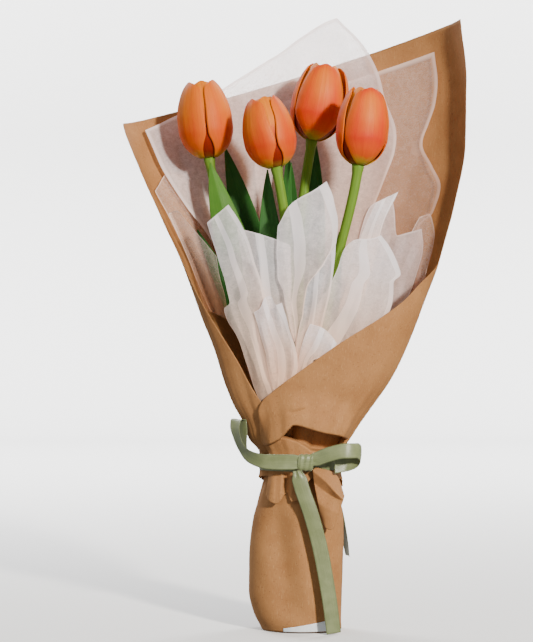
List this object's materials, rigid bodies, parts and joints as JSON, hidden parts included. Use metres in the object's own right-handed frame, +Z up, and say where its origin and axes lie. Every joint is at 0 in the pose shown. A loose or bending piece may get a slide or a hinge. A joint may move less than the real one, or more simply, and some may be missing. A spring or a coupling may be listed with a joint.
{
  "type": "wrapped tulip bouquet",
  "caption": "Tulips on bending stems in a cone of kraft paper lined with tissue, tied at the neck with a ribbon bow and held by the neck; the flowers open and each stem draws out.",
  "frame": {"origin": "centre of the tied neck, where a hand grips it", "axes": "+Z up the stems towards the flowers, -Y towards the open front of the paper, +X to the right when looking at that front"},
  "size_m": [0.2762, 0.115, 0.4977],
  "materials": {
    "kraft": "matt brown kraft paper with fine fibres",
    "tissue": "translucent white tissue paper",
    "ribbon": "sage green satin ribbon",
    "tepal": "soft satin flower petal, orange with a coral flush",
    "stem": "smooth green plant stem",
    "leaf": "smooth dark green leaf",
    "pistil": "pale green ovary with yellow stamens",
    "tie": "matt rubber band",
    "label": "blank white label"
  },
  "bodies": {
    "wrap": {"kraft_wrap": "kraft", "kraft_sleeve": "kraft", "stem_tie": "tie", "label": "label", "ribbon_band": "ribbon", "ribbon_knot": "ribbon", "ribbon_loop_right": "ribbon", "ribbon_loop_left": "ribbon", "tissue_back_right": "tissue", "tissue_back_tall": "tissue", "tissue_side_left": "tissue", "tissue_side_right": "tissue", "tissue_collar_left": "tissue", "tissue_collar_centre": "tissue", "tissue_collar_right": "tissue", "tissue_collar_back": "tissue"},
    "ribbon_tail_front": {"ribbon_tail_front": "ribbon"},
    "ribbon_tail_back": {"ribbon_tail_back": "ribbon"},
    "tulip_1": {"tulip_1_stem": "stem", "tulip_1_leaf_front": "leaf", "tulip_1_leaf_back": "leaf", "tulip_1_leaf_low": "leaf", "tulip_1_pistil": "pistil"},
    "tulip_1_tepal_outer_a": {"tulip_1_tepal_outer_a": "tepal"},
    "tulip_1_tepal_inner_a": {"tulip_1_tepal_inner_a": "tepal"},
    "tulip_1_tepal_outer_b": {"tulip_1_tepal_outer_b": "tepal"},
    "tulip_1_tepal_inner_b": {"tulip_1_tepal_inner_b": "tepal"},
    "tulip_1_tepal_outer_c": {"tulip_1_tepal_outer_c": "tepal"},
    "tulip_1_tepal_inner_c": {"tulip_1_tepal_inner_c": "tepal"},
    "tulip_2": {"tulip_2_stem": "stem", "tulip_2_leaf_left": "leaf", "tulip_2_leaf_right": "leaf", "tulip_2_pistil": "pistil"},
    "tulip_2_tepal_outer_a": {"tulip_2_tepal_outer_a": "tepal"},
    "tulip_2_tepal_inner_a": {"tulip_2_tepal_inner_a": "tepal"},
    "tulip_2_tepal_outer_b": {"tulip_2_tepal_outer_b": "tepal"},
    "tulip_2_tepal_inner_b": {"tulip_2_tepal_inner_b": "tepal"},
    "tulip_2_tepal_outer_c": {"tulip_2_tepal_outer_c": "tepal"},
    "tulip_2_tepal_inner_c": {"tulip_2_tepal_inner_c": "tepal"},
    "tulip_3": {"tulip_3_stem": "stem", "tulip_3_leaf_left": "leaf", "tulip_3_leaf_right": "leaf", "tulip_3_pistil": "pistil"},
    "tulip_3_tepal_outer_a": {"tulip_3_tepal_outer_a": "tepal"},
    "tulip_3_tepal_inner_a": {"tulip_3_tepal_inner_a": "tepal"},
    "tulip_3_tepal_outer_b": {"tulip_3_tepal_outer_b": "tepal"},
    "tulip_3_tepal_inner_b": {"tulip_3_tepal_inner_b": "tepal"},
    "tulip_3_tepal_outer_c": {"tulip_3_tepal_outer_c": "tepal"},
    "tulip_3_tepal_inner_c": {"tulip_3_tepal_inner_c": "tepal"},
    "tulip_4": {"tulip_4_stem": "stem", "tulip_4_leaf_back": "leaf", "tulip_4_pistil": "pistil"},
    "tulip_4_tepal_outer_a": {"tulip_4_tepal_outer_a": "tepal"},
    "tulip_4_tepal_inner_a": {"tulip_4_tepal_inner_a": "tepal"},
    "tulip_4_tepal_outer_b": {"tulip_4_tepal_outer_b": "tepal"},
    "tulip_4_tepal_inner_b": {"tulip_4_tepal_inner_b": "tepal"},
    "tulip_4_tepal_outer_c": {"tulip_4_tepal_outer_c": "tepal"},
    "tulip_4_tepal_inner_c": {"tulip_4_tepal_inner_c": "tepal"}
  },
  "joints": [
    {"name": "ribbon_tail_front_swing", "type": "hinge", "parent": "wrap", "child": "ribbon_tail_front", "pos_m": [0.002, -0.0335, -0.0075], "axis": [-1, 0, 0], "range_deg": [0, 60]},
    {"name": "ribbon_tail_back_swing", "type": "hinge", "parent": "wrap", "child": "ribbon_tail_back", "pos_m": [0.028, 0.0225, -0.0095], "axis": [0.8336, -0.5524, 0], "range_deg": [0, 45]},
    {"name": "tulip_1_draw", "type": "slide", "parent": "wrap", "child": "tulip_1", "axis": [-0.2425, 0.0097, 0.9701], "range_m": [0, 0.2]},
    {"name": "tulip_1_tepal_outer_a_open", "type": "hinge", "parent": "tulip_1", "child": "tulip_1_tepal_outer_a", "pos_m": [-0.06332, 0.0091, 0.24355], "axis": [0.4474, 0.8905, 0.0831], "range_deg": [0, 14], "stiffness_Nm_per_rad": 0.008},
    {"name": "tulip_1_tepal_inner_a_open", "type": "hinge", "parent": "tulip_1", "child": "tulip_1_tepal_inner_a", "pos_m": [-0.06543, 0.01434, 0.2435], "axis": [-0.5444, 0.8382, -0.0335], "range_deg": [0, 7], "stiffness_Nm_per_rad": 0.008},
    {"name": "tulip_1_tepal_outer_b_open", "type": "hinge", "parent": "tulip_1", "child": "tulip_1_tepal_outer_b", "pos_m": [-0.06936, 0.01839, 0.24318], "axis": [-0.9918, -0.0523, -0.1166], "range_deg": [0, 14], "stiffness_Nm_per_rad": 0.008},
    {"name": "tulip_1_tepal_inner_b_open", "type": "hinge", "parent": "tulip_1", "child": "tulip_1_tepal_inner_b", "pos_m": [-0.07281, 0.01395, 0.24263], "axis": [-0.4474, -0.8905, -0.0831], "range_deg": [0, 7], "stiffness_Nm_per_rad": 0.008},
    {"name": "tulip_1_tepal_outer_c_open", "type": "hinge", "parent": "tulip_1", "child": "tulip_1_tepal_outer_c", "pos_m": [-0.07432, 0.00852, 0.24226], "axis": [0.5444, -0.8382, 0.0335], "range_deg": [0, 14], "stiffness_Nm_per_rad": 0.008},
    {"name": "tulip_1_tepal_inner_c_open", "type": "hinge", "parent": "tulip_1", "child": "tulip_1_tepal_inner_c", "pos_m": [-0.06876, 0.00771, 0.24288], "axis": [0.9918, 0.0523, 0.1166], "range_deg": [0, 7], "stiffness_Nm_per_rad": 0.008},
    {"name": "tulip_2_draw", "type": "slide", "parent": "wrap", "child": "tulip_2", "axis": [0, -0.0797, 0.9968], "range_m": [0, 0.2]},
    {"name": "tulip_2_tepal_outer_a_open", "type": "hinge", "parent": "tulip_2", "child": "tulip_2_tepal_outer_a", "pos_m": [-0.00958, -0.02386, 0.23373], "axis": [0.2954, 0.9505, 0.0967], "range_deg": [0, 14], "stiffness_Nm_per_rad": 0.008},
    {"name": "tulip_2_tepal_inner_a_open", "type": "hinge", "parent": "tulip_2", "child": "tulip_2_tepal_inner_a", "pos_m": [-0.01237, -0.01938, 0.2333], "axis": [-0.6599, 0.7427, -0.1138], "range_deg": [0, 7], "stiffness_Nm_per_rad": 0.008},
    {"name": "tulip_2_tepal_outer_b_open", "type": "hinge", "parent": "tulip_2", "child": "tulip_2_tepal_outer_b", "pos_m": [-0.01647, -0.01611, 0.23254], "axis": [-0.9553, -0.2078, -0.2105], "range_deg": [0, 14], "stiffness_Nm_per_rad": 0.008},
    {"name": "tulip_2_tepal_inner_b_open", "type": "hinge", "parent": "tulip_2", "child": "tulip_2_tepal_inner_b", "pos_m": [-0.01886, -0.02079, 0.23187], "axis": [-0.2954, -0.9505, -0.0967], "range_deg": [0, 7], "stiffness_Nm_per_rad": 0.008},
    {"name": "tulip_2_tepal_outer_c_open", "type": "hinge", "parent": "tulip_2", "child": "tulip_2_tepal_outer_c", "pos_m": [-0.01955, -0.02603, 0.23153], "axis": [0.6599, -0.7427, 0.1138], "range_deg": [0, 14], "stiffness_Nm_per_rad": 0.008},
    {"name": "tulip_2_tepal_inner_c_open", "type": "hinge", "parent": "tulip_2", "child": "tulip_2_tepal_inner_c", "pos_m": [-0.01438, -0.02583, 0.23264], "axis": [0.9553, 0.2078, 0.2105], "range_deg": [0, 7], "stiffness_Nm_per_rad": 0.008},
    {"name": "tulip_3_draw", "type": "slide", "parent": "wrap", "child": "tulip_3", "axis": [-0.01, 0.0847, 0.9964], "range_m": [0, 0.2]},
    {"name": "tulip_3_tepal_outer_a_open", "type": "hinge", "parent": "tulip_3", "child": "tulip_3_tepal_outer_a", "pos_m": [0.01469, 0.01761, 0.25832], "axis": [0.9838, 0.0523, -0.1716], "range_deg": [0, 14], "stiffness_Nm_per_rad": 0.008},
    {"name": "tulip_3_tepal_inner_a_open", "type": "hinge", "parent": "tulip_3", "child": "tulip_3_tepal_inner_a", "pos_m": [0.01816, 0.02205, 0.25787], "axis": [0.4525, 0.8905, -0.0482], "range_deg": [0, 7], "stiffness_Nm_per_rad": 0.008},
    {"name": "tulip_3_tepal_outer_b_open", "type": "hinge", "parent": "tulip_3", "child": "tulip_3_tepal_outer_b", "pos_m": [0.01971, 0.02748, 0.25779], "axis": [-0.5313, 0.8382, 0.1234], "range_deg": [0, 14], "stiffness_Nm_per_rad": 0.008},
    {"name": "tulip_3_tepal_inner_b_open", "type": "hinge", "parent": "tulip_3", "child": "tulip_3_tepal_inner_b", "pos_m": [0.0142, 0.02829, 0.25879], "axis": [-0.9838, -0.0523, 0.1716], "range_deg": [0, 7], "stiffness_Nm_per_rad": 0.008},
    {"name": "tulip_3_tepal_outer_c_open", "type": "hinge", "parent": "tulip_3", "child": "tulip_3_tepal_outer_c", "pos_m": [0.0088, 0.0269, 0.25969], "axis": [-0.4525, -0.8905, 0.0482], "range_deg": [0, 14], "stiffness_Nm_per_rad": 0.008},
    {"name": "tulip_3_tepal_inner_c_open", "type": "hinge", "parent": "tulip_3", "child": "tulip_3_tepal_inner_c", "pos_m": [0.01083, 0.02166, 0.25915], "axis": [0.5313, -0.8382, -0.1234], "range_deg": [0, 7], "stiffness_Nm_per_rad": 0.008},
    {"name": "tulip_4_draw", "type": "slide", "parent": "wrap", "child": "tulip_4", "axis": [0.1909, -0.0685, 0.9792], "range_m": [0, 0.2]},
    {"name": "tulip_4_tepal_outer_a_open", "type": "hinge", "parent": "tulip_4", "child": "tulip_4_tepal_outer_a", "pos_m": [0.05102, -0.03284, 0.23403], "axis": [0.965, 0.2418, -0.1015], "range_deg": [0, 14], "stiffness_Nm_per_rad": 0.008},
    {"name": "tulip_4_tepal_inner_a_open", "type": "hinge", "parent": "tulip_4", "child": "tulip_4_tepal_inner_a", "pos_m": [0.05334, -0.02808, 0.23394], "axis": [0.2777, 0.9607, 0.0021], "range_deg": [0, 7], "stiffness_Nm_per_rad": 0.008},
    {"name": "tulip_4_tepal_outer_b_open", "type": "hinge", "parent": "tulip_4", "child": "tulip_4_tepal_outer_b", "pos_m": [0.05392, -0.02282, 0.23406], "axis": [-0.6874, 0.7189, 0.1036], "range_deg": [0, 14], "stiffness_Nm_per_rad": 0.008},
    {"name": "tulip_4_tepal_inner_b_open", "type": "hinge", "parent": "tulip_4", "child": "tulip_4_tepal_inner_b", "pos_m": [0.04867, -0.0232, 0.23464], "axis": [-0.965, -0.2418, 0.1015], "range_deg": [0, 7], "stiffness_Nm_per_rad": 0.008},
    {"name": "tulip_4_tepal_outer_c_open", "type": "hinge", "parent": "tulip_4", "child": "tulip_4_tepal_outer_c", "pos_m": [0.04385, -0.02534, 0.23511], "axis": [-0.2777, -0.9607, -0.0021], "range_deg": [0, 14], "stiffness_Nm_per_rad": 0.008},
    {"name": "tulip_4_tepal_inner_c_open", "type": "hinge", "parent": "tulip_4", "child": "tulip_4_tepal_inner_c", "pos_m": [0.04679, -0.02972, 0.23463], "axis": [0.6874, -0.7189, -0.1036], "range_deg": [0, 7], "stiffness_Nm_per_rad": 0.008}
  ],
  "couplings": [
    {"joint": "tulip_1_tepal_inner_a_open", "follows": "tulip_1_tepal_outer_a_open", "ratio": 0.5},
    {"joint": "tulip_1_tepal_outer_b_open", "follows": "tulip_1_tepal_outer_a_open", "ratio": 1},
    {"joint": "tulip_1_tepal_inner_b_open", "follows": "tulip_1_tepal_outer_a_open", "ratio": 0.5},
    {"joint": "tulip_1_tepal_outer_c_open", "follows": "tulip_1_tepal_outer_a_open", "ratio": 1},
    {"joint": "tulip_1_tepal_inner_c_open", "follows": "tulip_1_tepal_outer_a_open", "ratio": 0.5},
    {"joint": "tulip_2_tepal_inner_a_open", "follows": "tulip_2_tepal_outer_a_open", "ratio": 0.5},
    {"joint": "tulip_2_tepal_outer_b_open", "follows": "tulip_2_tepal_outer_a_open", "ratio": 1},
    {"joint": "tulip_2_tepal_inner_b_open", "follows": "tulip_2_tepal_outer_a_open", "ratio": 0.5},
    {"joint": "tulip_2_tepal_outer_c_open", "follows": "tulip_2_tepal_outer_a_open", "ratio": 1},
    {"joint": "tulip_2_tepal_inner_c_open", "follows": "tulip_2_tepal_outer_a_open", "ratio": 0.5},
    {"joint": "tulip_3_tepal_inner_a_open", "follows": "tulip_3_tepal_outer_a_open", "ratio": 0.5},
    {"joint": "tulip_3_tepal_outer_b_open", "follows": "tulip_3_tepal_outer_a_open", "ratio": 1},
    {"joint": "tulip_3_tepal_inner_b_open", "follows": "tulip_3_tepal_outer_a_open", "ratio": 0.5},
    {"joint": "tulip_3_tepal_outer_c_open", "follows": "tulip_3_tepal_outer_a_open", "ratio": 1},
    {"joint": "tulip_3_tepal_inner_c_open", "follows": "tulip_3_tepal_outer_a_open", "ratio": 0.5},
    {"joint": "tulip_4_tepal_inner_a_open", "follows": "tulip_4_tepal_outer_a_open", "ratio": 0.5},
    {"joint": "tulip_4_tepal_outer_b_open", "follows": "tulip_4_tepal_outer_a_open", "ratio": 1},
    {"joint": "tulip_4_tepal_inner_b_open", "follows": "tulip_4_tepal_outer_a_open", "ratio": 0.5},
    {"joint": "tulip_4_tepal_outer_c_open", "follows": "tulip_4_tepal_outer_a_open", "ratio": 1},
    {"joint": "tulip_4_tepal_inner_c_open", "follows": "tulip_4_tepal_outer_a_open", "ratio": 0.5}
  ]
}
